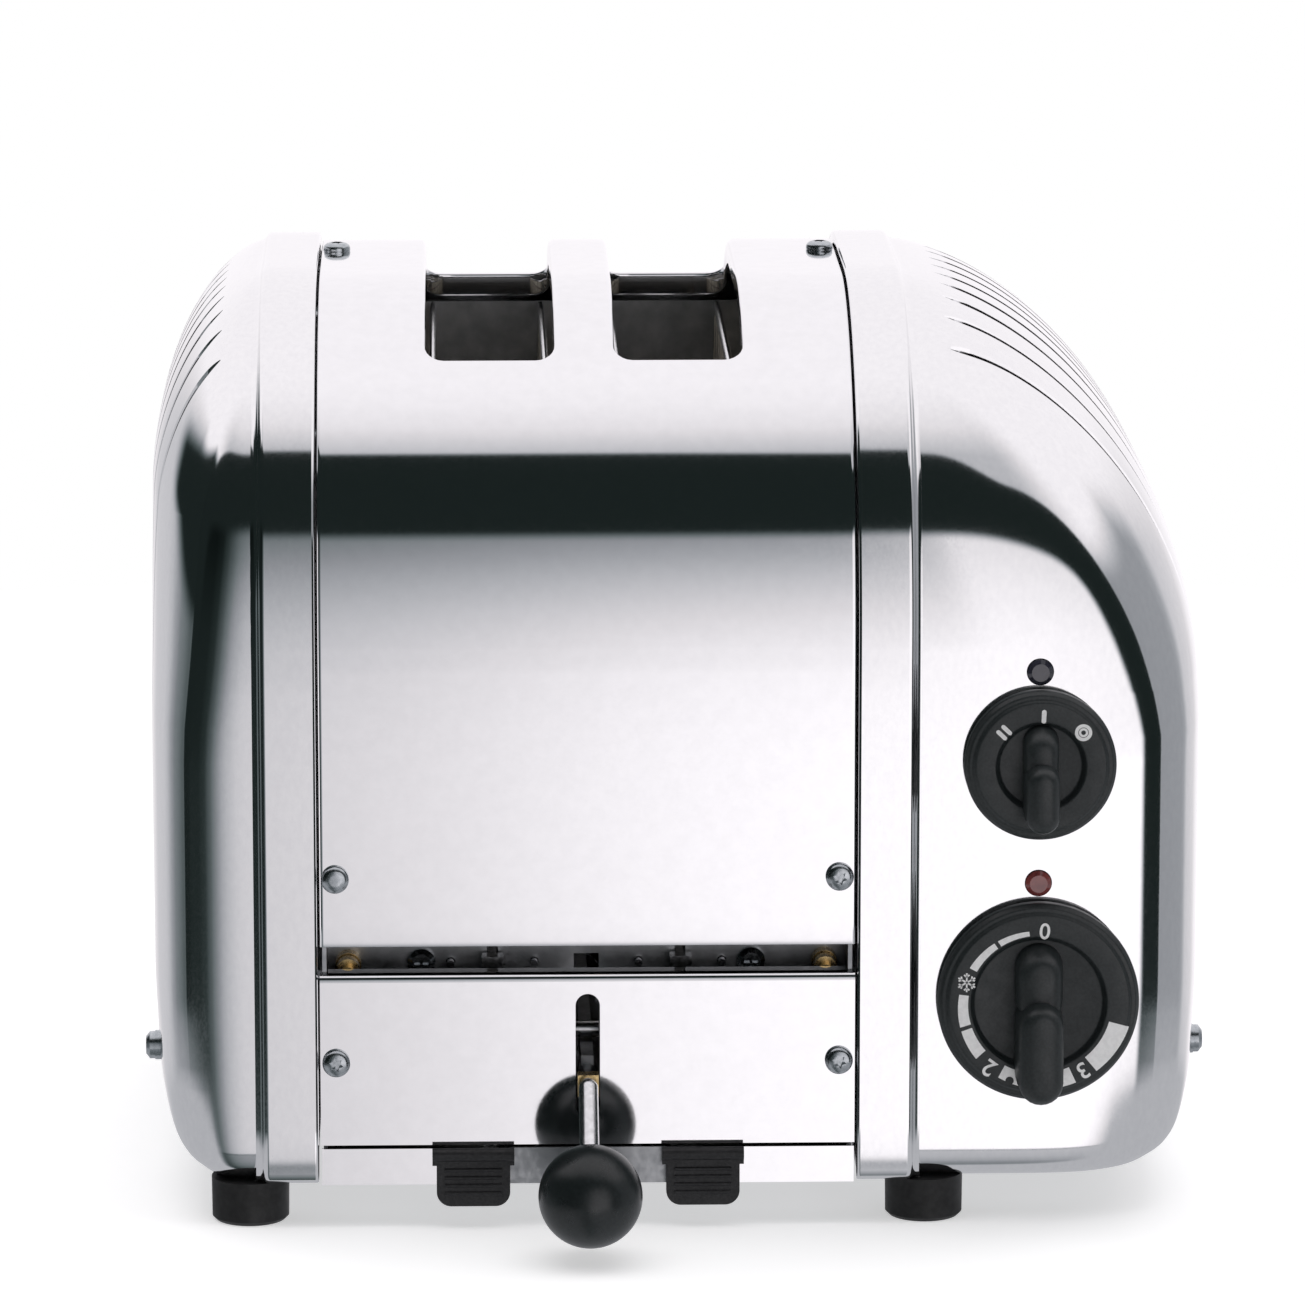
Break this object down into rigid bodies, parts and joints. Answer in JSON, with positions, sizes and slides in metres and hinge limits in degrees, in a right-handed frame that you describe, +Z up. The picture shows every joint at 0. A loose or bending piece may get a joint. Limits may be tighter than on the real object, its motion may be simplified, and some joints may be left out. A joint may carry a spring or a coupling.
{
  "type": "pop-up toaster",
  "caption": "Two-slot toaster with polished wrap-over cover, domed end castings, a hand eject lever, bread carriage, selector and timer knobs, heater cards and pull-out crumb trays.",
  "frame": {"origin": "on the supporting surface, under the middle of the bounding box", "axes": "+X to the control end seen from the front, -Y towards the user, +Z up"},
  "size_m": [0.257, 0.2534, 0.2202],
  "materials": {
    "polished_steel": "polished",
    "polished_casting": "polished",
    "galvanised": "dull zinc",
    "zinc_screw": "bright zinc",
    "wire": "bright wire",
    "mica": "matte sheet",
    "ribbon": "oxidised",
    "black_plastic": "satin",
    "ball_plastic": "satin gloss",
    "cream_plastic": "matte",
    "brass": "machined",
    "dark_lens": "gloss",
    "red_lens": "gloss",
    "rubber": "matte"
  },
  "bodies": {
    "housing": {"upper_cover": "polished_steel", "front_lower_panel": "polished_steel", "rear_lower_panel": "polished_steel", "left_end_casting": "polished_casting", "right_end_casting": "polished_casting", "left_side_plate": "galvanised", "right_side_plate": "galvanised", "front_frame_plate": "galvanised", "rear_frame_plate": "galvanised", "front_heat_plate": "galvanised", "rear_heat_plate": "galvanised", "base_plate": "galvanised", "left_bottom_plate": "galvanised", "right_bottom_plate": "galvanised", "crumb_ridge": "galvanised", "heater_card_left": "mica", "heater_card_centre": "mica", "heater_card_right": "mica", "heater_ribbon_left": "ribbon", "heater_ribbon_centre": "ribbon", "heater_ribbon_right": "ribbon", "guard_left_outer": "wire", "guard_left_inner": "wire", "guard_right_inner": "wire", "guard_right_outer": "wire", "lever_pivot_rod": "zinc_screw", "pivot_bracket": "galvanised", "selector_switch": "cream_plastic", "timer_body": "cream_plastic", "timer_bell": "brass", "upper_lamp": "dark_lens", "red_lamp": "red_lens", "lamp_holders": "black_plastic", "heat_shield": "galvanised", "terminal_block": "cream_plastic", "cable_gland": "black_plastic", "foot_front_left": "rubber", "foot_front_right": "rubber", "foot_rear_left": "rubber", "foot_rear_right": "rubber", "foot_screws": "zinc_screw", "panel_screws": "zinc_screw", "side_screws": "zinc_screw", "frame_screws": "zinc_screw", "brass_pillars": "brass"},
    "eject_lever": {"lever_arm": "galvanised", "lever_nut": "brass", "lever_rod": "wire", "lever_ball": "ball_plastic"},
    "bread_carriage": {"bread_rack_left": "wire", "bread_rack_right": "wire", "carriage_bar": "wire"},
    "selector": {"selector_knob": "black_plastic", "selector_shaft": "zinc_screw"},
    "timer": {"timer_knob": "black_plastic", "timer_shaft": "zinc_screw"},
    "left_tray": {"crumb_tray_left": "polished_steel", "tray_tab_left": "black_plastic"},
    "right_tray": {"crumb_tray_right": "polished_steel", "tray_tab_right": "black_plastic"}
  },
  "joints": [
    {"name": "eject_lever", "type": "hinge", "parent": "housing", "child": "eject_lever", "pos_m": [-0.02195, 0.09162, 0.036], "axis": [-1, 0, 0], "range_deg": [0, 5.8]},
    {"name": "bread_carriage", "type": "slide", "parent": "housing", "child": "bread_carriage", "axis": [0, 0, 1], "range_m": [0, 0.01499]},
    {"name": "selector_turn", "type": "hinge", "parent": "housing", "child": "selector", "pos_m": [0.08505, -0.08138, 0.1123], "axis": [0, 1, 0], "range_deg": [-48, 48]},
    {"name": "timer_turn", "type": "hinge", "parent": "housing", "child": "timer", "pos_m": [0.08505, -0.08138, 0.0549], "axis": [0, 1, 0], "range_deg": [0, 255]},
    {"name": "left_tray_slide", "type": "slide", "parent": "housing", "child": "left_tray", "axis": [0, -1, 0], "range_m": [0, 0.17]},
    {"name": "right_tray_slide", "type": "slide", "parent": "housing", "child": "right_tray", "axis": [0, -1, 0], "range_m": [0, 0.17]}
  ],
  "couplings": [
    {"joint": "bread_carriage", "follows": "eject_lever", "m_per_rad": 0.148}
  ]
}
